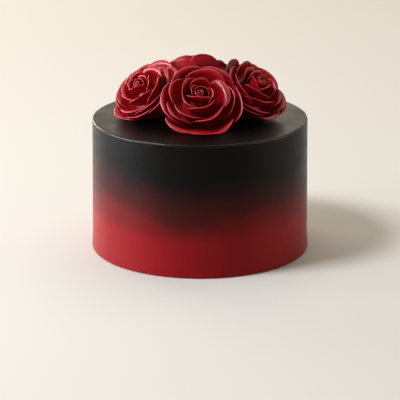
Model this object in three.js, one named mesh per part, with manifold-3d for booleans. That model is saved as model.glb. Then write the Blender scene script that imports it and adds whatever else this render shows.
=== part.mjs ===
// Ombre cake: a tall round cake in smooth icing, with four sugar roses leaning outwards on its top.
// Millimetres, +Z up. The cake stands on z = 0 with its axis on Z, and its front looks along -Y.
import * as THREE from "three";
import { mergeVertices } from "three/addons/utils/BufferGeometryUtils.js";
import Module from "manifold-3d";

const wasm = await Module();
wasm.setup();

// Driving dimensions of the cake
const CAKE_HEIGHT = 94.5;
const FOOT_RADIUS = 78;
const FOOT_HEIGHT = 12;
const FOOT_LIP_HEIGHT = 2.4;
const FOOT_BEVEL = 0.5;
const SIDE_RADIUS = 77.3;
const TOP_RADIUS = 76.3;
const TOP_EDGE_RADIUS = 1.5;
const TOP_EDGE_STEPS = 3;
const CAKE_SIDES = 56;

// Driving dimensions of a rose: its petals' rims lie on a dome, round a rolled bud
const ROSE_HEIGHT = 27.5;
const DOME_RADIUS = 32;
const PETAL_THICKNESS = 0.9;
const INNERMOST_REACH = 5;
const OUTERMOST_REACH = 29.2;
const RESTING_GAP = 0.3;

// Where two roses meet, one gives way to the room that the other fills, with this clearance round it
const NEIGHBOUR_CLEARANCE = 1.9;
const CUP_POWER = 0.25;

// The heart that the petals grow from, and the cone at its back that holds the rose up
const HEART_PROFILE = [
  [0, -24], [6, -24], [7.5, -10], [13, -2.5], [19.5, 1.5], [21.6, 7], [11.5, 17], [0, 23],
];
const HEART_SIDES = 8;

// A petal: its direction round the rose in degrees, how far its rim reaches and half its sweep in degrees,
// then how far its rim is lifted off the dome, how straight the rim is and how far it flares above its neck
function petal(direction, reach, halfAngle, { lift = 0, straight = 0.15, flare = 1 } = {}) {
  return { direction, reach, halfAngle, lift, straight, flare };
}

// The petals of each rose, from the bud outwards
const FRONT_PETALS = [
  petal(262, 4.8, 65, { straight: 1 }), petal(155, 6.6, 66), petal(352, 9.3, 58),
  petal(90, 12.2, 48), petal(212, 12.6, 58), petal(288, 12.4, 60, { straight: 0.3 }), petal(140, 14.2, 50),
  petal(18, 18.4, 50), petal(235, 19.3, 50), petal(300, 19.8, 50),
  petal(158, 22.4, 42), petal(82, 23.8, 48), petal(5, 24.2, 40, { flare: 0.7 }), petal(214, 23.8, 40),
  petal(247, 29, 44, { lift: 1.5 }), petal(182, 27.4, 52), petal(118, 28.2, 40),
  petal(65, 29.4, 42), petal(292, 31, 46, { lift: 3.5 }), petal(0, 29.6, 40, { flare: 0.7 }),
];
const LEFT_PETALS = [
  petal(305, 4.2, 62, { straight: 1 }), petal(190, 8.8, 56), petal(92, 7.6, 56),
  petal(29, 10.4, 48, { straight: 0.7 }), petal(150, 12.5, 50), petal(314, 13.6, 48, { straight: 0.7 }),
  petal(218, 15, 46), petal(256, 14.6, 46, { straight: 0.4 }), petal(8, 17.2, 46, { straight: 0.6 }),
  petal(87, 18.2, 46), petal(165, 18.5, 46), petal(60, 22.5, 42), petal(282, 22.2, 46, { straight: 0.4 }),
  petal(328, 22.6, 44, { straight: 0.3 }), petal(200, 23.5, 44), petal(250, 28, 42), petal(190, 28.4, 42),
  petal(98, 29, 36, { lift: 1.5 }), petal(60, 29, 32, { lift: 0.8 }), petal(302, 25.5, 46),
  petal(350, 25.5, 42), petal(138, 27.5, 34),
];
const RIGHT_PETALS = [
  petal(271, 5.8, 60, { straight: 1 }), petal(30, 7.5, 56), petal(155, 7.4, 58, { straight: 0.6 }),
  petal(75, 11.5, 50), petal(217, 12, 52, { straight: 0.7 }), petal(338, 12.6, 52), petal(95, 15.5, 44),
  petal(241, 17, 48, { straight: 0.6 }), petal(170, 19.3, 46, { straight: 0.6 }), petal(20, 17.5, 46),
  petal(312, 19.5, 44), petal(86, 22, 38, { lift: 2.2, flare: 0.5 }), petal(226, 24, 44, { straight: 0.4 }),
  petal(316, 24, 42), petal(130, 24.4, 40), petal(106, 29, 36, { lift: 3, flare: 0.5 }), petal(156, 28.5, 42),
  petal(212, 26.5, 42), petal(268, 26.4, 42), petal(318, 27, 40), petal(20, 27, 44), petal(60, 28.4, 34),
];
const BACK_PETALS = [
  petal(265, 5, 60, { straight: 0.8 }), petal(35, 7.2, 60), petal(150, 7.6, 60),
  petal(0, 10.2, 55), petal(105, 11.4, 52), petal(220, 12.2, 54), petal(290, 13.8, 52),
  petal(85, 15, 48), petal(135, 16.2, 46), petal(232, 17.8, 48), petal(30, 18.2, 48),
  petal(300, 21, 46), petal(160, 23.2, 42), petal(350, 24, 44), petal(45, 24.4, 40),
  petal(244, 28.2, 42), petal(190, 28, 42), petal(148, 27.4, 36, { lift: -2 }), petal(308, 28.9, 42),
  petal(10, 28.8, 42), petal(70, 28.4, 30, { lift: 1.5, flare: 0.2 }),
  petal(102, 28.8, 30, { lift: 1.7, flare: 0.2 }), petal(58, 30, 34, { lift: -1.5, flare: 0.4 }),
];

// How a petal's form changes from the innermost to the outermost one: millimetres and shares of its length
const PETAL_FORM = {
  pinwheel: [0.9, 2.2],
  baseRadius: [1.5, 5.2],
  baseHeight: [9, 0.8],
  bellyRadius: [5.6, 28.4],
  bellyHeight: [13.1, 0],
  neckRadius: [3.5, 22.6],
  neckBelowRim: [3, -0.6],
  sideDrop: [0.38, 0.34],
  endRounding: [0, 0.3],
};
const HIDDEN_BASE = 0.28;
const UPRIGHT_NECK = 6;
const RIM_WAVE = 0.3;
const WAVES_ACROSS = 5;

// How the rim falls towards a petal's two ends, and how closely these ends lie on the next petals
const SIDE_DROP_POWER = 2.2;
const END_ROUNDING_POWER = 10;
const STRAIGHT_RIM_STAYS_UP = 0.75;
const OUTER_END_DROP = 1.4;
const PRESSED_ENDS = 0.8;
const TUCKED_ENDS = 0.3;

// A petal is split into few flat pieces, the wide outer ones into one more, crowded towards its ends
const PETAL_STEPS_ALONG = 2;
const PETAL_STEPS_ACROSS = 5;
const WIDE_PETAL_STEPS_ACROSS = 6;
const WIDE_PETAL_REACH = 25;
const CROWDED_ENDS = 0.35;

// How uneven the petals are: a share of the half angle, millimetres of rim and neck, a share of the length
// that one side loses, radians of the wave and degrees of direction
const UNEVEN = { halfAngle: 0.05, rim: 0.5, neck: 0.8, skew: 0.05, wave: 3, direction: 3 };
const DRAWS_PER_PETAL = 7;
const DRAWS_PER_ROSE = 100;

// The bud is one strip rolled up
const BUD_TURNS = 1.4;
const BUD_INNER_RADIUS = 0.8;
const BUD_OUTER_RADIUS = 2.9;
const BUD_FOOT_HEIGHT = 14;
const BUD_FALL = 1;
const BUD_STEPS = 10;

// The roses: where the back of each one is, which way it leans, how steeply its axis rises and its size
const ROSES = [
  { name: "front", back: [0, -18.4, 103], azimuth: -90, rise: 46, size: 1, petals: FRONT_PETALS },
  { name: "left", back: [-31.5, 5.5, 102.6], azimuth: 221, rise: 46, size: 0.945, petals: LEFT_PETALS },
  { name: "right", back: [31.5, 4, 103.6], azimuth: -41, rise: 47, size: 0.945, petals: RIGHT_PETALS },
  { name: "back", back: [-2, 19, 106.6], azimuth: 92, rise: 44, size: 0.97, petals: BACK_PETALS },
];
const GIVES_WAY_TO = { front: [], left: ["front"], right: ["front"], back: ["front", "left", "right"] };

const icing = new THREE.MeshStandardMaterial({ color: "#3a1214", roughness: 0.45, metalness: 0 });
const sugarPaste = new THREE.MeshStandardMaterial({ color: "#8c1420", roughness: 0.42, metalness: 0 });

// A closed mesh as a solid that can be joined and cut
function solidOf(geometry) {
  const bare = geometry.clone();
  bare.deleteAttribute("normal");
  bare.deleteAttribute("uv");
  const merged = mergeVertices(bare);
  const vertProperties = new Float32Array(merged.getAttribute("position").array);
  const triVerts = new Uint32Array(merged.index.array);
  return new wasm.Manifold(new wasm.Mesh({ numProp: 3, vertProperties, triVerts }));
}

function geometryOf(solid) {
  const mesh = solid.getMesh();
  const geometry = new THREE.BufferGeometry();
  geometry.setAttribute("position", new THREE.BufferAttribute(mesh.vertProperties, 3));
  geometry.setIndex(new THREE.BufferAttribute(mesh.triVerts, 1));
  return geometry;
}

// The largest body alone: loose scraps go, and the skin of a sealed hollow goes too, which fills it
function largestBody(solid) {
  return solid.decompose().reduce((best, body) => (body.volume() > best.volume() ? body : best));
}

// A petal or the bud's strip as a closed solid: pointAt(u, v) gives its middle surface, for u and v from
// 0 to 1, and both faces are split alike. Its normals come from points a small step apart.
function sheetSolid(pointAt, across, along) {
  const step = 1e-3;
  const columns = across + 1;
  const behind = columns * (along + 1);
  const positions = [];
  for (const side of [0.5, -0.5]) {
    for (let row = 0; row <= along; row++) {
      for (let column = 0; column <= across; column++) {
        const u = column / across;
        const v = row / along;
        const alongU = pointAt(u + step, v).sub(pointAt(u - step, v));
        const alongV = pointAt(u, v + step).sub(pointAt(u, v - step));
        const normal = alongU.cross(alongV).normalize();
        positions.push(...pointAt(u, v).addScaledVector(normal, side * PETAL_THICKNESS));
      }
    }
  }
  const index = [];
  for (let row = 0; row < along; row++) {
    for (let column = 0; column < across; column++) {
      const a = row * columns + column;
      const b = a + 1;
      const c = a + columns;
      const d = c + 1;
      index.push(a, b, c, b, d, c);
      index.push(behind + a, behind + c, behind + b, behind + b, behind + c, behind + d);
    }
  }
  const border = [];
  for (let column = 0; column < across; column++) border.push(column);
  for (let row = 0; row < along; row++) border.push(row * columns + across);
  for (let column = across; column > 0; column--) border.push(along * columns + column);
  for (let row = along; row > 0; row--) border.push(row * columns);
  border.forEach((here, place) => {
    const next = border[(place + 1) % border.length];
    index.push(here, behind + here, next, next, behind + here, behind + next);
  });
  const geometry = new THREE.BufferGeometry();
  geometry.setAttribute("position", new THREE.Float32BufferAttribute(positions, 3));
  geometry.setIndex(index);
  return solidOf(geometry);
}

// A solid turned round Z from a profile of [radius, height] points
function turned(profile, sides) {
  const points = profile.map(([radius, height]) => new THREE.Vector2(radius, height));
  return new THREE.LatheGeometry(points, sides).rotateX(Math.PI / 2);
}

// The cake: a swollen foot, a side that narrows slightly upwards and a crisp, barely rounded top edge
function cakeGeometry() {
  const profile = [
    [0, 0],
    [FOOT_RADIUS - FOOT_BEVEL, 0],
    [FOOT_RADIUS, FOOT_BEVEL],
    [FOOT_RADIUS, FOOT_LIP_HEIGHT],
    [SIDE_RADIUS, FOOT_HEIGHT],
  ];
  for (let step = 0; step <= TOP_EDGE_STEPS; step++) {
    const angle = (step / TOP_EDGE_STEPS) * (Math.PI / 2);
    profile.push([
      TOP_RADIUS - TOP_EDGE_RADIUS * (1 - Math.cos(angle)),
      CAKE_HEIGHT - TOP_EDGE_RADIUS * (1 - Math.sin(angle)),
    ]);
  }
  profile.push([0, CAKE_HEIGHT]);
  return geometryOf(solidOf(turned(profile, CAKE_SIDES)));
}

// A repeatable draw from -1 to 1: the far decimals of a sine, which look random
function scatter(number) {
  const drawn = Math.sin(number * 12.9898 + 4.1414) * 43758.5453;
  return 2 * (drawn - Math.floor(drawn)) - 1;
}

// The height of the dome that the rims lie on
function rimHeight(reach) {
  return ROSE_HEIGHT - reach ** 2 / (2 * DOME_RADIUS);
}

// The middle surface of one petal in the rose's own frame: t runs across it from -1 to 1, s from base to rim.
// Its ends fall and are pressed onto the next petals, the end at -1 outside them and the other inside.
function petalSurface({ direction, reach, halfAngle, lift, straight, flare }, draw) {
  const ring = (reach - INNERMOST_REACH) / (OUTERMOST_REACH - INNERMOST_REACH);
  const form = {};
  for (const [name, [inner, outer]] of Object.entries(PETAL_FORM)) {
    form[name] = THREE.MathUtils.lerp(inner, outer, ring);
  }
  const half = THREE.MathUtils.degToRad(halfAngle) * (1 + UNEVEN.halfAngle * draw(0));
  const rim = rimHeight(reach) + lift + UNEVEN.rim * draw(1);
  const neck = rim - form.neckBelowRim - UPRIGHT_NECK * (1 - flare) + UNEVEN.neck * draw(2);
  const middle = THREE.MathUtils.degToRad(direction + UNEVEN.direction * draw(5));
  const section = new THREE.CubicBezierCurve(
    new THREE.Vector2(form.baseRadius, form.baseHeight),
    new THREE.Vector2(form.bellyRadius, form.bellyHeight),
    new THREE.Vector2(THREE.MathUtils.lerp(reach, form.neckRadius, flare), neck),
    new THREE.Vector2(reach, rim),
  );
  const innerEndDrop = form.sideDrop * (1 - STRAIGHT_RIM_STAYS_UP * straight);
  return (t, s) => {
    const endDrop = t < 0 ? OUTER_END_DROP * innerEndDrop : innerEndDrop;
    const fall = endDrop * Math.abs(t) ** SIDE_DROP_POWER;
    const rounding = form.endRounding * Math.abs(t) ** END_ROUNDING_POWER;
    const q = s * (1 - fall - rounding + UNEVEN.skew * draw(3) * t);
    const [radius, height] = section.getPoint(q);
    const chord = 1 + straight * (1 / Math.cos(t * half) - 1) * q;
    const wave = RIM_WAVE * Math.sin(WAVES_ACROSS * t + UNEVEN.wave * draw(4)) * q ** 3;
    const pressed = t < 0 ? PRESSED_ENDS : TUCKED_ENDS;
    const spiral = form.pinwheel * t * (1 - pressed * t ** 4) * Math.sqrt(q);
    const outwards = radius * chord + wave - spiral;
    const angle = middle + t * half;
    return new THREE.Vector3(outwards * Math.cos(angle), outwards * Math.sin(angle), height);
  };
}

// The bud's strip in the rose's own frame
function budSurface(u, v) {
  const angle = u * BUD_TURNS * 2 * Math.PI;
  const radius = THREE.MathUtils.lerp(BUD_INNER_RADIUS, BUD_OUTER_RADIUS, u);
  const height = THREE.MathUtils.lerp(BUD_FOOT_HEIGHT, ROSE_HEIGHT - BUD_FALL * u, v);
  return new THREE.Vector3(radius * Math.cos(angle), radius * Math.sin(angle), height);
}

// The frame of a rose: its own Z is its axis, its own X points sideways and level
function roseFrame(rose) {
  const azimuth = THREE.MathUtils.degToRad(rose.azimuth);
  const rise = THREE.MathUtils.degToRad(rose.rise);
  const axis = new THREE.Vector3(
    Math.cos(azimuth) * Math.cos(rise),
    Math.sin(azimuth) * Math.cos(rise),
    Math.sin(rise),
  );
  const sideways = new THREE.Vector3(-Math.sin(azimuth), Math.cos(azimuth), 0);
  const upwards = new THREE.Vector3().crossVectors(axis, sideways);
  const frame = new THREE.Matrix4().makeBasis(sideways, upwards, axis);
  frame.scale(new THREE.Vector3(rose.size, rose.size, rose.size));
  return frame.setPosition(...rose.back);
}

// The radius that a rose fills at a height of its own frame: a cup below its outer rims, a dome above
function filledRadius(height) {
  const outerRim = rimHeight(OUTERMOST_REACH);
  const cup = Math.max(0, (height + NEIGHBOUR_CLEARANCE) / (outerRim + NEIGHBOUR_CLEARANCE));
  const dome = Math.max(0, 2 * DOME_RADIUS * (ROSE_HEIGHT + NEIGHBOUR_CLEARANCE - height));
  return Math.min((OUTERMOST_REACH + NEIGHBOUR_CLEARANCE) * cup ** CUP_POWER, Math.sqrt(dome));
}

// A petal gives way: it bends out of the neighbours in front of it and lies down on the icing
function settled(point, neighbours) {
  for (const frame of neighbours) {
    const local = point.clone().applyMatrix4(frame.clone().invert());
    const radius = Math.hypot(local.x, local.y);
    const filled = filledRadius(local.z);
    if (radius >= filled) continue;
    local.x *= filled / radius;
    local.y *= filled / radius;
    point.copy(local.applyMatrix4(frame));
  }
  point.z = Math.max(point.z, CAKE_HEIGHT + RESTING_GAP + PETAL_THICKNESS / 2);
  return point;
}

// One rose: heart, bud and petals joined, then cut level just above the icing
function roseGeometry(rose, number) {
  const frame = roseFrame(rose);
  const neighbours = ROSES.filter((other) => GIVES_WAY_TO[rose.name].includes(other.name)).map(roseFrame);
  let solid = solidOf(turned(HEART_PROFILE, HEART_SIDES).applyMatrix4(frame));
  const bud = (u, v) => budSurface(u, v).applyMatrix4(frame);
  solid = solid.add(sheetSolid(bud, BUD_STEPS, 1));
  rose.petals.forEach((form, place) => {
    const draw = (which) => scatter(DRAWS_PER_ROSE * number + DRAWS_PER_PETAL * place + which);
    const surface = petalSurface(form, draw);
    const pointAt = (u, v) => {
      const even = 2 * u - 1;
      const t = even * (1 + CROWDED_ENDS * (1 - even ** 2));
      const point = surface(t, THREE.MathUtils.lerp(HIDDEN_BASE, 1, v));
      return settled(point.applyMatrix4(frame), neighbours);
    };
    const across = form.reach < WIDE_PETAL_REACH ? PETAL_STEPS_ACROSS : WIDE_PETAL_STEPS_ACROSS;
    solid = solid.add(sheetSolid(pointAt, across, PETAL_STEPS_ALONG));
  });
  const below = new THREE.BoxGeometry(2 * TOP_RADIUS, 2 * TOP_RADIUS, CAKE_HEIGHT);
  below.translate(0, 0, CAKE_HEIGHT / 2 + RESTING_GAP);
  return geometryOf(largestBody(solid.subtract(solidOf(below))));
}

const cake = new THREE.Group();
const body = new THREE.Mesh(cakeGeometry(), icing);
body.name = "cake";
cake.add(body);
ROSES.forEach((rose, place) => {
  const mesh = new THREE.Mesh(roseGeometry(rose, place + 1), sugarPaste);
  mesh.name = `rose_${rose.name}`;
  cake.add(mesh);
});

export default cake;
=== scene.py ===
# %% [markdown]
# # An ombre cake with sugar roses
#
# This lesson dresses a tall round cake that was first drawn as plain solids: one for the iced cake and one
# for each of the four roses on its top. The solids are loaded as a fixed frame, and every piece made here
# lies where they lie, in metres, with Z up and the front of the cake towards -Y.

# %% Load the solids
import math

import bmesh
import bpy
from mathutils import Matrix, Vector, noise


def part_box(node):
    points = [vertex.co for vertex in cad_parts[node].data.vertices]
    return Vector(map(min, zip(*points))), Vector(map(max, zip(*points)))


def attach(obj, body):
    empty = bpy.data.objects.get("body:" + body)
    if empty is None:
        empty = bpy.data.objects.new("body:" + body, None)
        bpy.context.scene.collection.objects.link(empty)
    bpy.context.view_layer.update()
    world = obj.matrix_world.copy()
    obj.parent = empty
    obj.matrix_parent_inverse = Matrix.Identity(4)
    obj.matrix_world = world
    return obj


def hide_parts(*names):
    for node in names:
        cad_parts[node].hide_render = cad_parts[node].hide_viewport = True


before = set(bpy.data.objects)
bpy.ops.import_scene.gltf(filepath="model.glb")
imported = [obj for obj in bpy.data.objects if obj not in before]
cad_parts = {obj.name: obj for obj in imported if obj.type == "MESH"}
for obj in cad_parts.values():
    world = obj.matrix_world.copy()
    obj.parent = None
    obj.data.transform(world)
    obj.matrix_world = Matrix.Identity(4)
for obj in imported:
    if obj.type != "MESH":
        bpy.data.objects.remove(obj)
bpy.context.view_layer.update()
MM = 0.001
print("solids:", sorted(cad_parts))

# %% [markdown]
# ## The camera
#
# A camera could be placed by eye and nudged until the picture looks right. Here it is worked out instead: the
# cake's round foot and round top show as two ellipses, and their widths and depths give the height and the
# distance of the eye. It stands 1.3 m away, a little above the cake, with a long lens that keeps the sides of
# the cake nearly upright.

# %% Place the camera
EYE_DISTANCE = 1.300
EYE_HEIGHT = 0.442
LOOK_DOWN = math.radians(17.49)
SENSOR = 36
FOCAL_PIXELS = 1894
PICTURE_PIXELS = 400

camera_data = bpy.data.cameras.new("camera")
camera_data.sensor_width = SENSOR
camera_data.lens = FOCAL_PIXELS * SENSOR / PICTURE_PIXELS
camera = bpy.data.objects.new("camera", camera_data)
camera.location = (0, -EYE_DISTANCE, EYE_HEIGHT)
camera.rotation_euler = (math.pi / 2 - LOOK_DOWN, 0, 0)
bpy.context.scene.collection.objects.link(camera)
bpy.context.scene.camera = camera
print("lens:", round(camera_data.lens, 1), "mm")

# %% [markdown]
# ## Colours and nodes
#
# Colours are picked as the hex values that a screen shows, and Blender mixes light in linear values, so one
# function turns the first into the second. A second small function adds a node to a material, with its
# settings and with the links into it, which keeps the recipes below short enough to read.

# %% Helpers for colours and nodes
def colour(hex_value):
    """The linear colour of an sRGB hex value, by the curve of the sRGB standard."""
    shown = [int(hex_value[i : i + 2], 16) / 255 for i in (1, 3, 5)]
    linear = [c / 12.92 if c <= 0.04045 else ((c + 0.055) / 1.055) ** 2.4 for c in shown]
    return (*linear, 1.0)


def add_node(material, kind, settings=None, **inputs):
    """Adds a node to a material. An input is a value, or the output of another node to link to it.

    An input is called by its name with _ for a space, or by _ and its number where names repeat.
    """
    node = material.node_tree.nodes.new("ShaderNode" + kind)
    for name, value in (settings or {}).items():
        setattr(node, name, value)
    for name, value in inputs.items():
        place = int(name[1:]) if name[1:].isdigit() else name.replace("_", " ")
        if isinstance(value, bpy.types.NodeSocket):
            material.node_tree.links.new(value, node.inputs[place])
        else:
            node.inputs[place].default_value = value
    return node


def new_material(name):
    """A new material and its shader."""
    material = bpy.data.materials.new(name)
    material.use_nodes = True
    return material, material.node_tree.nodes["Principled BSDF"]


print("a mid red is", [round(c, 3) for c in colour("#82101a")[:3]])

# %% [markdown]
# ## The floor
#
# The cake is seen on a plain cream surface that fills the picture. It could be a backdrop that curves up
# behind the cake, but the camera looks down, so one large flat face does.

# %% Lay the floor
FLOOR_REACH = 4.0

floor_mesh = bpy.data.meshes.new("floor")
floor_form = bmesh.new()
bmesh.ops.create_grid(floor_form, x_segments=1, y_segments=1, size=FLOOR_REACH)
floor_form.to_mesh(floor_mesh)
floor_form.free()
floor = bpy.data.objects.new("floor", floor_mesh)
bpy.context.scene.collection.objects.link(floor)

# Card scatters light evenly, so the floor shows soft shadows and no gloss.
card, card_shader = new_material("matt cream card")
card_shader.inputs["Base Color"].default_value = colour("#c3bfb6")
card_shader.inputs["Roughness"].default_value = 0.9
card_shader.inputs["Specular IOR Level"].default_value = 0.1
floor_mesh.materials.append(card)
print("floor:", 2 * FLOOR_REACH, "m wide")

# %% [markdown]
# ## The room and its windows
#
# The light is soft and comes mostly from the left. A wide low window draws the grey sheen down that side of
# the icing, and a small high one lights the petals and the top edge. Behind the cake a far window, the
# ceiling and the pale back wall lay a sheen on the flat top, and a warm wall on the right draws the thin
# light line down that side. A picture of a room could light the scene as well, but soft rectangles are easier
# to place one by one.

# %% Light the room
CAKE_MIDDLE = (0, 0, 0.07)
ROOM_STRENGTH = 0.14

# Each light's place, width, height, watts and tint
LIGHTS = {
    "low window": ((-1.37, -0.13, 0.18), 1.17, 0.39, 33.0, "#f8f9ff"),
    "high window": ((-0.98, -0.42, 1.44), 0.48, 0.48, 33.0, "#f2f5ff"),
    "back window": ((-1.25, 1.50, 0.34), 1.0, 0.56, 21.0, "#fff2e2"),
    "ceiling": ((0.35, 0.6, 1.5), 1.6, 1.6, 13.0, "#fffaf2"),
    "back wall": ((-0.50, 1.65, 0.65), 2.8, 1.2, 15.5, "#fff0de"),
    "right wall": ((1.02, -0.16, 0.10), 0.95, 0.20, 3.5, "#ffe9cf"),
}

room = bpy.data.worlds.new("bright room")
room.use_nodes = True
room.node_tree.nodes["Background"].inputs["Color"].default_value = colour("#fff8ee")
room.node_tree.nodes["Background"].inputs["Strength"].default_value = ROOM_STRENGTH
bpy.context.scene.world = room
bpy.context.scene.view_settings.view_transform = "Standard"

for name, (place, width, height, watts, tint) in LIGHTS.items():
    light = bpy.data.lights.new(name, "AREA")
    light.shape = "RECTANGLE"
    light.size = width
    light.size_y = height
    light.energy = watts
    light.color = colour(tint)[:3]
    lamp = bpy.data.objects.new(name, light)
    lamp.location = place
    lamp.rotation_euler = (Vector(CAKE_MIDDLE) - Vector(place)).to_track_quat("-Z", "Y").to_euler()
    lamp.visible_camera = False
    bpy.context.scene.collection.objects.link(lamp)
print("lights:", list(LIGHTS))

# %% [markdown]
# ## The outline of the iced cake
#
# The real icing was smoothed by hand on a turntable: it spreads a little towards the foot, the side leans in
# very slightly, and the top edge is crisp. A cylinder could be bevelled into that, but one half of the
# section, drawn as points of radius and height, holds the foot, the side and the edge in one line.

# %% Draw half a section of the icing
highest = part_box("cake")[1]
FOOT_RADIUS = highest.x
CAKE_HEIGHT = highest.z
SIDE_RADIUS = FOOT_RADIUS - 0.7 * MM
TOP_RADIUS = FOOT_RADIUS - 1.7 * MM
FOOT_HEIGHT = 12 * MM
FOOT_BEVEL = 0.5 * MM
EDGE_RADIUS = 1.0 * MM
EDGE_FLOOR = CAKE_HEIGHT - EDGE_RADIUS
FLAT_RADIUS = TOP_RADIUS - EDGE_RADIUS
SIDE_ROWS = 34
EDGE_ROWS = 6
TOP_ROWS = 16

# How far in from the foot's rim two points of its slope lie, and at which share of its height
FOOT_SLOPE = [(0.1 * MM, 0.2), (0.45 * MM, 0.6)]


def icing_section():
    """Half a section of the iced cake, from the middle of the foot to the middle of the top."""
    points = [(0, 0), (FOOT_RADIUS / 2, 0), (FOOT_RADIUS - FOOT_BEVEL, 0), (FOOT_RADIUS, FOOT_BEVEL)]
    points += [(FOOT_RADIUS - inset, FOOT_HEIGHT * share) for inset, share in FOOT_SLOPE]
    for row in range(SIDE_ROWS):
        share = row / SIDE_ROWS
        radius = SIDE_RADIUS + (TOP_RADIUS - SIDE_RADIUS) * share
        points.append((radius, FOOT_HEIGHT + (EDGE_FLOOR - FOOT_HEIGHT) * share))
    for row in range(EDGE_ROWS + 1):
        angle = math.pi / 2 * row / EDGE_ROWS
        radius = TOP_RADIUS - EDGE_RADIUS * (1 - math.cos(angle))
        points.append((radius, EDGE_FLOOR + EDGE_RADIUS * math.sin(angle)))
    points += [(FLAT_RADIUS * (1 - (row + 1) / TOP_ROWS), CAKE_HEIGHT) for row in range(TOP_ROWS)]
    return points


print("section:", len(icing_section()), "points")

# %% [markdown]
# ## Spinning the icing
#
# The section is spun about the cake's axis, as the cake itself turned under the scraper. The spin leaves a
# seam where it closes and doubled points on the axis, so these are merged, and then the faces are turned to
# look outwards.

# %% Spin the section
SPIN_STEPS = 192
SAME_POINT = 1e-6


def spin_round(form, section, steps, same_point):
    """Spins a section of radii and heights about the Z axis into a closed form."""
    line = [form.verts.new((radius, 0, height)) for radius, height in section]
    joined = [form.edges.new(pair) for pair in zip(line, line[1:])]
    bmesh.ops.spin(
        form, geom=line + joined, cent=(0, 0, 0), axis=(0, 0, 1),
        angle=2 * math.pi, steps=steps, use_merge=True,
    )
    bmesh.ops.remove_doubles(form, verts=form.verts, dist=same_point)


icing_form = bmesh.new()
spin_round(icing_form, icing_section(), SPIN_STEPS, SAME_POINT)
bmesh.ops.recalc_face_normals(icing_form, faces=icing_form.faces)
print("icing:", len(icing_form.faces), "faces")

# %% [markdown]
# ## A hand's unevenness
#
# A spun form is truer than any icing. A hand leaves slow, faint waves in the side, and the edge comes out
# slightly ragged where the scraper meets the knife. Blender's noise gives the same value at the same place on
# every run, so each point is moved a little along its normal by two scales of it.

# %% Make the icing uneven
WAVE_LENGTH = 45 * MM
WAVE_DEPTH = 0.22 * MM
RAGGED_LENGTH = 7 * MM
RAGGED_DEPTH = 0.16 * MM


def on_top_edge(point):
    """Whether a point lies on the rounding of the top edge."""
    return math.hypot(point.x, point.y) > FLAT_RADIUS and point.z > EDGE_FLOOR


for vert in icing_form.verts:
    wave = WAVE_DEPTH * noise.noise(vert.co / WAVE_LENGTH) * min(1, vert.co.z / FOOT_HEIGHT)
    ragged = RAGGED_DEPTH * noise.noise(vert.co / RAGGED_LENGTH) if on_top_edge(vert.co) else 0
    vert.co += vert.normal * (wave + ragged)
print("icing: waves of", round(WAVE_DEPTH / MM, 2), "mm")

# %% [markdown]
# ## From a form to a piece
#
# A form becomes a piece of the scene in the same few steps each time: a mesh with smooth shading, an object,
# one level of subdivision to round what the rows leave, and two lines that tie it to the frame. They say
# which body it moves with and hide the solid that it stands for.

# %% Finish the icing's shape
def make_piece(name, form, node):
    """Turns a form into a smooth piece that stands for one of the solids."""
    mesh = bpy.data.meshes.new(name)
    form.to_mesh(mesh)
    form.free()
    mesh.shade_smooth()
    piece = bpy.data.objects.new(name, mesh)
    bpy.context.scene.collection.objects.link(piece)
    soften = piece.modifiers.new("soften", "SUBSURF")
    soften.levels = soften.render_levels = 1
    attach(piece, "root")
    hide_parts(node)
    print(name, len(mesh.polygons), "faces before softening")
    return piece


icing = make_piece("icing", icing_form, "cake")

# %% [markdown]
# ## Buttercream, dragged from red to black
#
# The icing is coloured buttercream. Red is spread round the foot, darker reds above it and black to the top,
# and a scraper held to the turning cake drags each colour into the next. One colour ramp over the height
# would look printed, so the edge between two colours is moved up and down by smears: wandering patches of
# noise that are drawn out round the cake.

# %% Helpers for the smears
# Fat and sugar give a satin face: nearly black from the front, grey where light grazes it.
buttercream, cream_shader = new_material("coloured buttercream smoothed with a scraper")
icing.data.materials.append(buttercream)
on_icing = add_node(buttercream, "TexCoord").outputs["Object"]
axes = add_node(buttercream, "SeparateXYZ", Vector=on_icing).outputs


def smear(size, flatten, seed):
    """A wandering value from 0 to 1, whose patches are size wide and flattened by the scraper."""
    shift = add_node(
        buttercream, "Mapping", Vector=on_icing, Location=(seed, seed, seed),
        Scale=(1 / size, 1 / size, flatten / size),
    )
    return add_node(
        buttercream, "TexNoise", Vector=shift.outputs["Vector"], Scale=1.0, Detail=2.0, Roughness=0.4,
    ).outputs[0]


def raised(height, value, amount):
    """A height raised by an amount of a value."""
    return add_node(
        buttercream, "Math", {"operation": "MULTIPLY_ADD"}, _0=value, _1=amount, _2=height,
    ).outputs[0]


print("smears: ready for", buttercream.name)

# %% [markdown]
# ## One pull of the scraper
#
# A little left of the middle the darker icing was pulled down into the red. A bell curve across the cake
# describes such a dip: 1 at its middle, falling smoothly to 0 on both sides. Four small nodes work it out
# from the place across the cake.

# %% Find the pull
PULL_MIDDLE = -10 * MM
PULL_WIDTH = 31 * MM

away = add_node(
    buttercream, "Math", {"operation": "MULTIPLY_ADD"},
    _0=axes["X"], _1=1 / PULL_WIDTH, _2=-PULL_MIDDLE / PULL_WIDTH,
).outputs[0]
squared = add_node(buttercream, "Math", {"operation": "MULTIPLY"}, _0=away, _1=away).outputs[0]
falling = add_node(buttercream, "Math", {"operation": "MULTIPLY"}, _0=squared, _1=-1.0).outputs[0]
pull = add_node(buttercream, "Math", {"operation": "EXPONENT"}, _0=falling).outputs[0]
print("pull:", round(PULL_WIDTH / MM), "mm wide")

# %% [markdown]
# ## The fade
#
# Three soft steps make the fade, from red to a mid red, to a dark brownish red and to black. Each has its own
# height, softness, dip at the pull and slant across the cake, and its own seed, so that no two edges wander
# alike.

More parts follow.
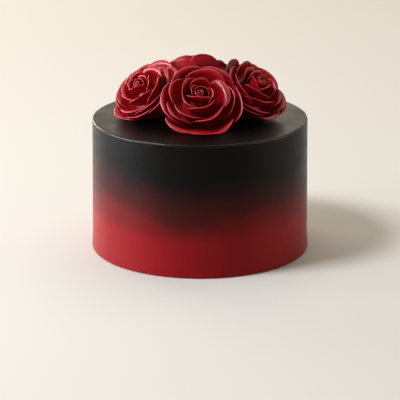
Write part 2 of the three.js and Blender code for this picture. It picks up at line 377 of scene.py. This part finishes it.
# %% Mix the fade
RED = colour("#7b0b12")
MID_RED = colour("#600b0b")
DARK_RED = colour("#390b06")
BLACK = colour("#040302")
BROAD_SIZE = 26 * MM
BROAD_FLATTEN = 1.8
BROAD_REACH = 11 * MM
FINE_SIZE = 8 * MM
FINE_FLATTEN = 2.5
FINE_REACH = 3.5 * MM

# Each step's height, softness, dip, slant and seed, and the colour above it
FADE_STEPS = [
    (32 * MM, 11 * MM, 3.5 * MM, -0.015, 3.1, MID_RED),
    (46.5 * MM, 14 * MM, 10 * MM, 0.03, 5.4, DARK_RED),
    (61 * MM, 26 * MM, 6.5 * MM, 0.045, 8.7, BLACK),
]


def soft_step(edge, softness, dip, slant, seed):
    """From 0 below an edge to 1 above it, where the edge dips, slants and wanders with the smears."""
    height = raised(axes["Z"], pull, dip)
    height = raised(height, axes["X"], slant)
    height = raised(height, smear(BROAD_SIZE, BROAD_FLATTEN, seed), BROAD_REACH)
    height = raised(height, smear(FINE_SIZE, FINE_FLATTEN, seed + 1), FINE_REACH)
    low_end = edge - softness / 2 + (BROAD_REACH + FINE_REACH) / 2
    return add_node(
        buttercream, "MapRange", {"interpolation_type": "SMOOTHSTEP"}, Value=height,
        From_Min=low_end, From_Max=low_end + softness,
    ).outputs["Result"]


fade = RED
for edge, softness, dip, slant, seed, above in FADE_STEPS:
    step = soft_step(edge, softness, dip, slant, seed)
    fade = add_node(buttercream, "Mix", {"data_type": "RGBA"}, _0=step, _6=fade, _7=above).outputs[2]
buttercream.node_tree.links.new(fade, cream_shader.inputs["Base Color"])
print("fade:", len(FADE_STEPS), "steps")

# %% [markdown]
# ## How buttercream shines
#
# The scraper polishes the icing unevenly, so its roughness wanders between two values in broad patches. A
# little sheen stands for the fine sugar that catches grazing light. A single roughness would be simpler, and
# would make the side look like painted plastic.

# %% Polish the side
PATCH_SIZE = 14 * MM
PATCH_FLATTEN = 1.6
PATCH_SEED = 12.3
SIDE_POLISH = (0.37, 0.47)

# Most of a noise's values lie between these two.
NOISE_LOW = 0.3
NOISE_HIGH = 0.7

polish = add_node(
    buttercream, "MapRange", Value=smear(PATCH_SIZE, PATCH_FLATTEN, PATCH_SEED),
    From_Min=NOISE_LOW, From_Max=NOISE_HIGH, To_Min=SIDE_POLISH[0], To_Max=SIDE_POLISH[1],
).outputs["Result"]
buttercream.node_tree.links.new(polish, cream_shader.inputs["Roughness"])
cream_shader.inputs["Specular IOR Level"].default_value = 0.075
cream_shader.inputs["Sheen Weight"].default_value = 0.165
cream_shader.inputs["Sheen Roughness"].default_value = 0.4
print("polish: roughness from", *SIDE_POLISH)

# %% [markdown]
# ## Streaks and air bubbles
#
# The blade leaves faint streaks round the cake and opens a few air bubbles, pits about a millimetre across
# and a centimetre apart. Both are too shallow to model, so they are bumps: flattened noise for the streaks,
# and for the pits the small round places next to the middles of Voronoi cells.

# %% Mark the surface
STREAK_SIZE = 5 * MM
STREAK_FLATTEN = 3.0
STREAK_SEED = 5.5
STREAK_DEPTH = 0.4 * MM
BUBBLE_SPACING = 10 * MM
BUBBLE_RADIUS = 0.5 * MM

streaks = smear(STREAK_SIZE, STREAK_FLATTEN, STREAK_SEED)
streaked = add_node(buttercream, "Bump", Height=streaks, Strength=0.12, Distance=STREAK_DEPTH)
spacing = add_node(buttercream, "Mapping", Vector=on_icing, Scale=(1 / BUBBLE_SPACING,) * 3)
bubble = add_node(buttercream, "TexVoronoi", Vector=spacing.outputs["Vector"], Scale=1.0)
pit = add_node(
    buttercream, "MapRange", {"interpolation_type": "SMOOTHSTEP"}, Value=bubble.outputs["Distance"],
    From_Max=BUBBLE_RADIUS / BUBBLE_SPACING,
)
pitted = add_node(
    buttercream, "Bump", Height=pit.outputs["Result"], Strength=0.6, Distance=BUBBLE_RADIUS,
    Normal=streaked.outputs["Normal"],
)
buttercream.node_tree.links.new(pitted.outputs["Normal"], cream_shader.inputs["Normal"])
print("buttercream:", len(buttercream.node_tree.nodes), "nodes")

# %% [markdown]
# ## The pressed edge and the levelled top
#
# The same black icing is finished in two more ways. The lower part of the rounded edge was pressed smooth and
# shines more than the side, and the top was levelled with a palette knife and has a closed, smoother face
# with no sheen of loose sugar. The top's material is a copy of the side's with another polish and no sheen,
# and each face takes its material from how far round the edge it lies.

# %% Finish the edge and the top
PRESSED_TO = math.radians(58)
TOP_POLISH = (0.29, 0.39)
PRESSED_SLOT = 1
LEVELLED_SLOT = 2

# Pressed fat is nearly closed, so the edge draws a thin line of light round the cake.
edge_cream, edge_shader = new_material("black buttercream pressed smooth along the top edge")
edge_shader.inputs["Base Color"].default_value = BLACK
edge_shader.inputs["Roughness"].default_value = 0.32
edge_shader.inputs["Specular IOR Level"].default_value = 0.28
edge_shader.inputs["Sheen Weight"].default_value = 0.12
edge_shader.inputs["Sheen Roughness"].default_value = 0.4
icing.data.materials.append(edge_cream)

# The knife leaves a smoother face than the scraper, which mirrors the bright room softly.
top_cream = buttercream.copy()
top_cream.name = "black buttercream levelled with a palette knife"
top_cream.node_tree.nodes["Principled BSDF"].inputs["Sheen Weight"].default_value = 0
top_range = top_cream.node_tree.nodes[polish.node.name].inputs
top_range["To Min"].default_value = TOP_POLISH[0]
top_range["To Max"].default_value = TOP_POLISH[1]
icing.data.materials.append(top_cream)

for face in icing.data.polygons:
    outwards = math.hypot(face.center.x, face.center.y) - FLAT_RADIUS
    upwards = face.center.z - EDGE_FLOOR
    if upwards > 0:
        face.material_index = PRESSED_SLOT if math.atan2(upwards, outwards) < PRESSED_TO else LEVELLED_SLOT
print("icing: finishes", [material.name for material in icing.data.materials])

# %% [markdown]
# ## How a sugar rose is built
#
# A sugar rose starts as a cone of paste. A thin strip is rolled round its tip for the bud, and petals cut
# from rolled paste are pressed on in rings, each ring a little lower and more open, until their rims lie on
# a dome. Each petal could be sculpted by hand, but with some twenty in a rose it is quicker to list where
# each one points and how far it reaches, from the bud outwards, and let one rule bend them all. Sizes in the
# rose's own frame are in millimetres.

# %% What describes a petal
ROSE_HEIGHT = 27.5
DOME_RADIUS = 32
INNERMOST_REACH = 5
OUTERMOST_REACH = 29.2


def petal(direction, reach, half_angle, roll=0.3, lift=0.0, straight=0.15, flare=1.0):
    """Where a petal points in degrees, how far its rim reaches, and half the angle that it sweeps.

    Then how far its rim rolls out, how far it is lifted off the dome, how straight the rim is from end to
    end, and how much the petal flares above its neck.
    """
    return {
        "direction": direction, "reach": reach, "half_angle": half_angle,
        "roll": roll, "lift": lift, "straight": straight, "flare": flare,
    }


def rim_height(reach):
    """The height of the dome that the rims lie on."""
    return ROSE_HEIGHT - reach**2 / (2 * DOME_RADIUS)


print("the dome falls from", rim_height(0), "to", round(rim_height(OUTERMOST_REACH), 1), "mm")

# %% [markdown]
# ## The petals of the front and the left rose
#
# The front rose faces the camera. Its first petal lies straight across under the bud, a broad one on the
# right rolls over and catches the light, and two low ones are lifted off the icing. The left rose has long,
# straight rims that cross each other on its right side. The lists run from the bud outwards.

# %% List the petals of the front and the left rose
FRONT_PETALS = [
    petal(262, 4.8, 65, straight=1.0), petal(155, 6.6, 66, straight=0.1), petal(352, 9.3, 58, straight=0.1),
    petal(90, 12.2, 48), petal(212, 12.6, 58), petal(288, 12.4, 60, straight=0.3),
    petal(140, 14.2, 50), petal(18, 18.0, 50, roll=3.2), petal(235, 19.3, 50),
    petal(300, 19.8, 50, roll=0.6), petal(158, 22.4, 42), petal(82, 23.8, 48),
    petal(5, 24.2, 40, roll=0.2, flare=0.7), petal(214, 23.8, 40), petal(247, 29.0, 44, roll=0.9, lift=1.5),
    petal(182, 27.4, 52, straight=0.1), petal(118, 28.2, 40), petal(65, 29.4, 42),
    petal(292, 31.0, 46, roll=0.8, lift=3.5), petal(0, 29.6, 40, roll=0.2, flare=0.7),
]
LEFT_PETALS = [
    petal(305, 4.2, 62, straight=1.0), petal(190, 8.8, 56), petal(92, 7.6, 56),
    petal(29, 10.4, 48, straight=0.7), petal(150, 12.5, 50), petal(314, 13.6, 48, straight=0.7),
    petal(218, 15.0, 46), petal(256, 14.6, 46, straight=0.4), petal(8, 17.2, 46, straight=0.6),
    petal(87, 18.2, 46, roll=1.6), petal(165, 18.5, 46), petal(60, 22.5, 42, roll=1.2),
    petal(282, 22.2, 46, roll=0.6, straight=0.4), petal(328, 22.6, 44, straight=0.3), petal(200, 23.5, 44),
    petal(250, 28.0, 42, roll=0.8), petal(190, 28.4, 42), petal(98, 29.0, 36, roll=0.5, lift=1.5),
    petal(60, 29.0, 32, lift=0.8), petal(302, 25.5, 46), petal(350, 25.5, 42), petal(138, 27.5, 34),
]
print("petals:", len(FRONT_PETALS), "in the front rose and", len(LEFT_PETALS), "in the left one")

# %% [markdown]
# ## The petals of the right and the back rose
#
# The right rose raises two narrow petals on its upper side, towards the middle of the cake. The back rose
# looks away, so what shows of it from the front is three of its outer petals: two upright scallops and a
# lower one.

# %% List the petals of the right and the back rose
RIGHT_PETALS = [
    petal(271, 5.8, 60, straight=1.0), petal(30, 7.5, 56), petal(155, 7.4, 58, straight=0.6),
    petal(75, 11.5, 50), petal(217, 12.0, 52, straight=0.7), petal(338, 12.6, 52),
    petal(95, 15.5, 44, roll=0.8), petal(241, 17.0, 48, straight=0.6), petal(170, 19.3, 46, straight=0.6),
    petal(20, 17.5, 46), petal(312, 19.5, 44), petal(86, 22.0, 38, lift=2.2, flare=0.5),
    petal(226, 24.0, 44, roll=0.6, straight=0.4), petal(316, 24.0, 42), petal(130, 24.4, 40),
    petal(106, 29.0, 36, roll=0.1, lift=3.0, flare=0.5), petal(156, 28.5, 42), petal(212, 26.5, 42),
    petal(268, 26.4, 42, roll=0.8), petal(318, 27.0, 40, roll=0.8), petal(20, 27.0, 44), petal(60, 28.4, 34),
]
BACK_PETALS = [
    petal(265, 5.0, 60, straight=0.8), petal(35, 7.2, 60), petal(150, 7.6, 60),
    petal(0, 10.2, 55), petal(105, 11.4, 52), petal(220, 12.2, 54), petal(290, 13.8, 52),
    petal(85, 15.0, 48), petal(135, 16.2, 46), petal(232, 17.8, 48), petal(30, 18.2, 48),
    petal(300, 21.0, 46), petal(160, 23.2, 42), petal(350, 24.0, 44), petal(45, 24.4, 40),
    petal(244, 28.2, 42), petal(190, 28.0, 42), petal(148, 27.4, 36, lift=-2.0), petal(308, 28.9, 42),
    petal(10, 28.8, 42), petal(70, 28.4, 30, lift=1.5, flare=0.2), petal(102, 28.8, 30, lift=1.7, flare=0.2),
    petal(58, 30.0, 34, lift=-1.5, flare=0.4),
]
print("petals:", len(RIGHT_PETALS), "in the right rose and", len(BACK_PETALS), "in the back one")

# %% [markdown]
# ## Small differences between petals
#
# No two petals of a hand are alike, so each one's angle, height and wave are changed a little. The changes
# come from a formula that scatters the petal's number, and not from a random generator, so that every run
# bends the same petals.

# %% Draw the differences
DRAWS_PER_ROSE = 100
DRAWS_PER_PETAL = 7

# The largest change to each measure of a petal, in its own unit
UNEVEN = {"half_angle": 0.05, "rim": 0.5, "neck": 0.8, "skew": 0.05, "wave": 3, "direction": 3}


def scatter(number):
    """A repeatable draw from -1 to 1. The numbers in it only have to be uneven."""
    drawn = math.sin(number * 12.9898 + 4.1414) * 43758.5453
    return 2 * (drawn - math.floor(drawn)) - 1


def petal_draws(rose_number, order):
    """The draws of one petal of one rose, as a function of which draw is wanted."""
    first = DRAWS_PER_ROSE * rose_number + DRAWS_PER_PETAL * order
    return lambda which: scatter(first + which)


print("first draws:", [round(petal_draws(1, 0)(which), 2) for which in range(3)])

# %% [markdown]
# ## Bending one petal
#
# Seen from its side, a petal leaves the cone, swells into a belly, narrows at a neck and flares to its rim: a
# cubic curve with four points describes that. Inner petals are upright and outer ones open, so every measure
# is a pair of values, for the innermost and the outermost ring, and a petal takes its share between them.

# %% The measures of a petal
PETAL_FORM = {
    "pinwheel": (0.9, 2.2), "base_radius": (1.5, 5.2), "base_height": (9, 0.8),
    "belly_radius": (5.6, 28.4), "belly_height": (13.1, 0), "neck_radius": (3.5, 22.6),
    "neck_below_rim": (3, -0.6), "side_drop": (0.38, 0.34), "end_rounding": (0, 0.3),
}
ROLLED_SHARE = 0.11
ROLLED_SHARE_PER_MM = 0.05


def ring_form(reach):
    """The measures of a petal whose rim reaches so far."""
    ring = (reach - INNERMOST_REACH) / (OUTERMOST_REACH - INNERMOST_REACH)
    return {name: inner + (outer - inner) * ring for name, (inner, outer) in PETAL_FORM.items()}


def cubic(a, b, c, d, q):
    """A point on a curve that leaves a towards b and reaches d from c."""
    r = 1 - q
    return [r**3 * i + 3 * q * r**2 * j + 3 * q**2 * r * k + q**3 * m for i, j, k, m in zip(a, b, c, d)]


def rolled_out(roll, t, s):
    """How far a point is rolled out: only near the rim, and less towards the petal's ends."""
    share = ROLLED_SHARE + ROLLED_SHARE_PER_MM * roll
    near_rim = max(0, (s - 1 + share) / share) ** 2
    return near_rim * (roll * (1 - t**4))


print("an outer petal's belly is", PETAL_FORM["belly_radius"][1], "mm out")

# %% [markdown]
# ## The rule for every point of a petal
#
# A place on a petal has two numbers: t goes across it from end to end, and s goes from its base to its rim.
# The rule follows the curve up to s, lowers and rounds the petal's ends, waves the rim, lays one end over the
# next petal and the other under it, and rolls the rim out. Written once, it serves all the petals.

# %% Bend a petal
UPRIGHT_NECK = 6
SIDE_DROP_POWER = 2.2
END_ROUNDING_POWER = 10
STRAIGHT_RIM_STAYS_UP = 0.75
OUTER_END_DROP = 1.4
PRESSED_ENDS = 0.8
TUCKED_ENDS = 0.3
RIM_WAVE = 0.3
WAVES_ACROSS = 5
ROLL_FALL = 0.6


def petal_point(shape, draw, t, s):
    """A point of a petal in the rose's frame: t is -1 to 1 across it, and s is 0 to 1 from base to rim."""
    reach, straight, flare = shape["reach"], shape["straight"], shape["flare"]
    form = ring_form(reach)
    half = math.radians(shape["half_angle"]) * (1 + UNEVEN["half_angle"] * draw(0))
    rim = rim_height(reach) + shape["lift"] + UNEVEN["rim"] * draw(1)
    neck = rim - form["neck_below_rim"] - UPRIGHT_NECK * (1 - flare) + UNEVEN["neck"] * draw(2)
    neck_radius = reach - flare * (reach - form["neck_radius"])

    # The rim falls towards both ends of the petal, and more at the end that lies outside its neighbour.
    end_drop = form["side_drop"] * (1 - STRAIGHT_RIM_STAYS_UP * straight)
    end_drop *= OUTER_END_DROP if t < 0 else 1
    fall = end_drop * abs(t) ** SIDE_DROP_POWER
    rounding = form["end_rounding"] * abs(t) ** END_ROUNDING_POWER
    q = s * (1 - fall - rounding + UNEVEN["skew"] * draw(3) * t)
    radius, height = cubic(
        (form["base_radius"], form["base_height"]), (form["belly_radius"], form["belly_height"]),
        (neck_radius, neck), (reach, rim), q,
    )

    # One end lies over the next petal and the other under it, as in a pinwheel.
    radius *= 1 + straight * (1 / math.cos(t * half) - 1) * q
    radius += RIM_WAVE * math.sin(WAVES_ACROSS * t + UNEVEN["wave"] * draw(4)) * q**3
    pressed = PRESSED_ENDS if t < 0 else TUCKED_ENDS
    radius -= form["pinwheel"] * t * (1 - pressed * t**4) * math.sqrt(q)
    rolled = rolled_out(shape["roll"], t, s)
    radius += rolled
    height -= ROLL_FALL * rolled
    angle = math.radians(shape["direction"] + UNEVEN["direction"] * draw(5)) + t * half
    return Vector((radius * math.cos(angle), radius * math.sin(angle), height))


tip = petal_point(FRONT_PETALS[0], petal_draws(1, 0), 0, 1)
print("the first petal's rim is", round(tip.z, 1), "mm up")

# %% [markdown]
# ## Where the roses sit
#
# The four roses lean outwards from the middle of the cake, each turned to its own side. A place, a direction
# round the cake and a rise above the level say how a rose sits, and one matrix takes its petals there. The
# list also says which roses a rose gives way to.

# %% Place the roses
ROSES = {
    "front": {
        "back": (0, -18.4, 103), "azimuth": -90, "rise": 46, "size": 1, "bud": 1,
        "petals": FRONT_PETALS, "behind": [],
    },
    "left": {
        "back": (-31.5, 5.5, 102.6), "azimuth": 221, "rise": 46, "size": 0.945, "bud": 0.8,
        "petals": LEFT_PETALS, "behind": ["front"],
    },
    "right": {
        "back": (31.5, 4, 103.6), "azimuth": -41, "rise": 47, "size": 0.945, "bud": 0.8,
        "petals": RIGHT_PETALS, "behind": ["front"],
    },
    "back": {
        "back": (-2, 19, 106.6), "azimuth": 92, "rise": 44, "size": 0.97, "bud": 1,
        "petals": BACK_PETALS, "behind": ["front", "left", "right"],
    },
}


def rose_frame(rose):
    """The matrix from a rose's own frame, whose Z is its axis, to the cake's, in millimetres."""
    azimuth, rise = math.radians(rose["azimuth"]), math.radians(rose["rise"])
    axis = Vector((math.cos(azimuth) * math.cos(rise), math.sin(azimuth) * math.cos(rise), math.sin(rise)))
    sideways = Vector((-math.sin(azimuth), math.cos(azimuth), 0))
    turned = Matrix((sideways, axis.cross(sideways), axis)).transposed().to_4x4()
    return Matrix.Translation(rose["back"]) @ turned @ Matrix.Scale(rose["size"], 4)


print("roses:", list(ROSES))

# %% [markdown]
# ## Petals that give way
#
# Fresh petals are soft enough to bend where two roses meet or where a petal touches the icing. A cloth
# simulation could settle them, but they only touch lightly, so a push is enough: each point is moved out of
# the room that the roses in front of it fill, and up to what it rests on. Petals that lie on the icing rest
# on one another in thin layers, because two faces in one plane would render as dark specks.

# %% Let the petals settle
CLEARANCE = 1.9
CUP_POWER = 0.25
PETAL_REST = 0.75
LAYER_STEP = 0.06


def filled_radius(height):
    """The radius that a rose fills at a height of its own frame: a cup below its outer rims, a dome above."""
    cup = max(0, (height + CLEARANCE) / (rim_height(OUTERMOST_REACH) + CLEARANCE))
    dome = max(0, 2 * DOME_RADIUS * (ROSE_HEIGHT + CLEARANCE - height))
    return min((OUTERMOST_REACH + CLEARANCE) * cup**CUP_POWER, math.sqrt(dome))


def settled(point, neighbours, resting):
    """A point of a petal after it has given way to the roses in front of it and to what it rests on."""
    for place in neighbours:
        local = place.inverted() @ point
        radius = math.hypot(local.x, local.y)
        filled = filled_radius(local.z)
        if radius < filled:
            local.x *= filled / radius
            local.y *= filled / radius
            point = place @ local
    point.z = max(point.z, resting)
    return point


def resting_height(order, petals):
    """The height that a petal of a rose rests at: the outermost petal lies lowest."""
    return CAKE_HEIGHT / MM + PETAL_REST + LAYER_STEP * (len(petals) - order - 1)


print("a rose fills", round(filled_radius(rim_height(OUTERMOST_REACH)), 1), "mm at its outer rims")

# %% [markdown]
# ## Rolling the bud
#
# The bud is a strip of paste rolled up into two and a half turns, with a loose outer end. It could be drawn
# as a spiral curve and given a height, but a flat grid that is rolled up is closer to how it is made, and its
# upper rim can wave. A layer of values on the points remembers how near the rim each one is, for the painted
# highlight along the edges that is added later.

# %% Roll the bud
BUD_COLUMNS, BUD_ROWS = 80, 6
BUD_TURNS = 2.5
BUD_FOOT = 12
BUD_INNER_RADIUS = 0.4
BUD_WINDING = 2.4
BUD_LOOSE_END = 3.6
BUD_LOOSE_END_POWER = 5
BUD_BELLY = 0.1
BUD_BELOW_TOP = 0.3
BUD_FALL = 0.8
BUD_WAVE = 0.3
BUD_WAVES = 9
BUD_END_SHARE = 0.07
BUD_END_FALL = 3


def add_bud(form, rim, place, width, end):
    """Rolls a strip of paste into the bud."""
    strip = bmesh.ops.create_grid(form, x_segments=BUD_COLUMNS, y_segments=BUD_ROWS, size=1.0)
    for vert in strip["verts"]:
        u, s = (vert.co.x + 1) / 2, (vert.co.y + 1) / 2
        radius = BUD_INNER_RADIUS + BUD_WINDING * u + BUD_LOOSE_END * u**BUD_LOOSE_END_POWER
        radius *= width * (1 + BUD_BELLY * math.sin(s * math.pi))
        tip = ROSE_HEIGHT - BUD_BELOW_TOP - BUD_FALL * u + BUD_WAVE * math.sin(BUD_WAVES * u)
        tip -= BUD_END_FALL * max(0, u - 1 + BUD_END_SHARE) / BUD_END_SHARE
        angle = math.radians(end) + (1 - u) * BUD_TURNS * 2 * math.pi
        height = BUD_FOOT + (tip - BUD_FOOT) * s
        vert[rim] = s
        vert.co = place @ Vector((radius * math.cos(angle), radius * math.sin(angle), height))


print("bud:", BUD_TURNS, "turns")

# %% [markdown]
# ## Placing the petals
#
# A petal is a flat sheet of paste as it lies on the board, so it starts as a grid. Its columns are closer
# together at its ends, where it is rounded most. Each point is bent by the rule, taken to where the rose
# sits, and left to settle.

# %% Bend a grid into a petal
PETAL_COLUMNS, PETAL_ROWS = 20, 11
HIDDEN_BASE = 0.06
RIM_ENDS_POWER = 6


def add_petal(form, rim, shape, draw, place, neighbours, resting):
    """Bends a flat grid into one petal."""
    sheet = bmesh.ops.create_grid(form, x_segments=PETAL_COLUMNS, y_segments=PETAL_ROWS, size=1.0)
    for vert in sheet["verts"]:
        t, v = math.sin(vert.co.x * math.pi / 2), (vert.co.y + 1) / 2
        s = HIDDEN_BASE + (1 - HIDDEN_BASE) * v
        vert[rim] = max(v, abs(t) ** RIM_ENDS_POWER)
        vert.co = settled(place @ petal_point(shape, draw, t, s), neighbours, resting)


print("a petal has", PETAL_COLUMNS * PETAL_ROWS, "faces before it gets its thickness")

# %% [markdown]
# ## The heart of a rose
#
# Under the petals sits the cone of paste that they are pressed on. It is spun from a section, as the icing
# was, and its foot is flattened where it stands on the cake. It is made in a form of its own, so that its
# faces can be turned outwards apart from the petals', and then added to them.

# %% Spin the heart
HEART_STEPS = 24
HEART_REST = 0.3
HEART_SECTION = [
    (0, -24), (6, -24), (7.5, -10), (10.5, -5), (15, -1.2), (19, 1.6),
    (17, 5), (9, 14), (4, 18.5), (0, 19),
]


def add_heart(form, place):
    """Spins the cone that the petals are pressed on."""
    heart = bmesh.new()
    spin_round(heart, HEART_SECTION, HEART_STEPS, SAME_POINT / MM)
    bmesh.ops.transform(heart, matrix=place, verts=heart.verts)
    for vert in heart.verts:
        vert.co.z = max(vert.co.z, CAKE_HEIGHT / MM + HEART_REST)
    bmesh.ops.recalc_face_normals(heart, faces=heart.faces)
    heart_mesh = bpy.data.meshes.new("heart")
    heart.to_mesh(heart_mesh)
    heart.free()
    form.from_mesh(heart_mesh)
    bpy.data.meshes.remove(heart_mesh)


print("heart:", len(HEART_SECTION), "points in its section")

# %% [markdown]
# ## Putting the roses together
#
# All of a rose's sheets get the thickness of rolled paste at once, before the heart joins them, because the
# heart is a solid already. The rose is then brought from millimetres to metres and made a piece.

# %% Make the roses
PETAL_THICKNESS = 0.6
BUD_END_AFTER_FIRST_PETAL = 58


def rose_form(number, rose):
    """The bud, the petals and the heart of one rose, in metres."""
    place = rose_frame(rose)
    neighbours = [rose_frame(ROSES[other]) for other in rose["behind"]]
    form = bmesh.new()
    # How near the rim each point lies, which places the painted rim highlight.
    rim = form.verts.layers.float.new("rim")
    bud_end = rose["petals"][0]["direction"] + BUD_END_AFTER_FIRST_PETAL
    add_bud(form, rim, place, rose["bud"], bud_end)
    for order, shape in enumerate(rose["petals"]):
        resting = resting_height(order, rose["petals"])
        add_petal(form, rim, shape, petal_draws(number, order), place, neighbours, resting)
    bmesh.ops.solidify(form, geom=form.faces[:], thickness=PETAL_THICKNESS)
    add_heart(form, place)
    bmesh.ops.scale(form, vec=(MM, MM, MM), verts=form.verts)
    return form


rose_pieces = []
for number, (name, rose) in enumerate(ROSES.items(), start=1):
    piece = make_piece("petals_" + name, rose_form(number, rose), "rose_" + name)
    rose_pieces.append(piece)

# %% [markdown]
# ## Sugar paste, rolled thin
#
# The petals are crimson modelling paste rolled to under a millimetre. One plain red would look like plastic,
# so two reds are kneaded together in soft patches, and a paler red along the thin rims is a painted highlight
# that draws each petal's edge as a fine light line.

# %% Colour the paste
# Kneaded sugar dries to a deep red with a soft shine; the paler red along the thin rims is a painted
# highlight.
paste, paste_shader = new_material("crimson sugar paste rolled thin")
PASTE_RED = colour("#9c0613")
DEEP_RED = colour("#7e040d")
# A painted highlight: the paler red that the rims are drawn in, as if they caught the light.
RIM_HIGHLIGHT_RED = colour("#ac2c36")
KNEADED_SIZE = 7 * MM
RIM_HIGHLIGHT_FROM = 0.955

on_petals = add_node(paste, "TexCoord").outputs["Object"]
patches = add_node(paste, "TexNoise", Vector=on_petals, Scale=1 / KNEADED_SIZE, Detail=2.0).outputs[0]
kneaded = add_node(paste, "Mix", {"data_type": "RGBA"}, _0=patches, _6=PASTE_RED, _7=DEEP_RED).outputs[2]
near_rim = add_node(paste, "Attribute", {"attribute_name": "rim"}).outputs["Fac"]
# Painted highlight: the rims turn paler over their last few hundredths.
painted_rim_highlight = add_node(
    paste, "MapRange", {"interpolation_type": "SMOOTHSTEP"}, Value=near_rim, From_Min=RIM_HIGHLIGHT_FROM, From_Max=1.0,
).outputs["Result"]
tone = add_node(paste, "Mix", {"data_type": "RGBA"}, _0=painted_rim_highlight, _6=kneaded, _7=RIM_HIGHLIGHT_RED).outputs[2]
paste.node_tree.links.new(tone, paste_shader.inputs["Base Color"])
for piece in rose_pieces:
    piece.data.materials.append(paste)
print("paste: on", len(rose_pieces), "roses")

# %% [markdown]
# ## The polish of fingers
#
# Warm fingers leave a soft, uneven polish on the paste, so its roughness follows the kneaded patches. Under
# it lies the grain of the sugar. Real grains are too fine to show, so they are drawn as coarse as they need
# to be, just enough to break the edge of a highlight.

# %% Polish the paste
PASTE_POLISH = (0.3, 0.42)
GRAIN_SIZE = 0.9 * MM
GRAIN_DEPTH = 0.15 * MM

fingered = add_node(
    paste, "MapRange", Value=patches,
    From_Min=NOISE_LOW, From_Max=NOISE_HIGH, To_Min=PASTE_POLISH[0], To_Max=PASTE_POLISH[1],
).outputs["Result"]
paste.node_tree.links.new(fingered, paste_shader.inputs["Roughness"])
paste_shader.inputs["Specular IOR Level"].default_value = 0.4
grain = add_node(paste, "TexNoise", Vector=on_petals, Scale=1 / GRAIN_SIZE, Detail=3.0).outputs[0]
grained = add_node(paste, "Bump", Height=grain, Strength=0.3, Distance=GRAIN_DEPTH)
paste.node_tree.links.new(grained.outputs["Normal"], paste_shader.inputs["Normal"])
print("paste:", len(paste.node_tree.nodes), "nodes")
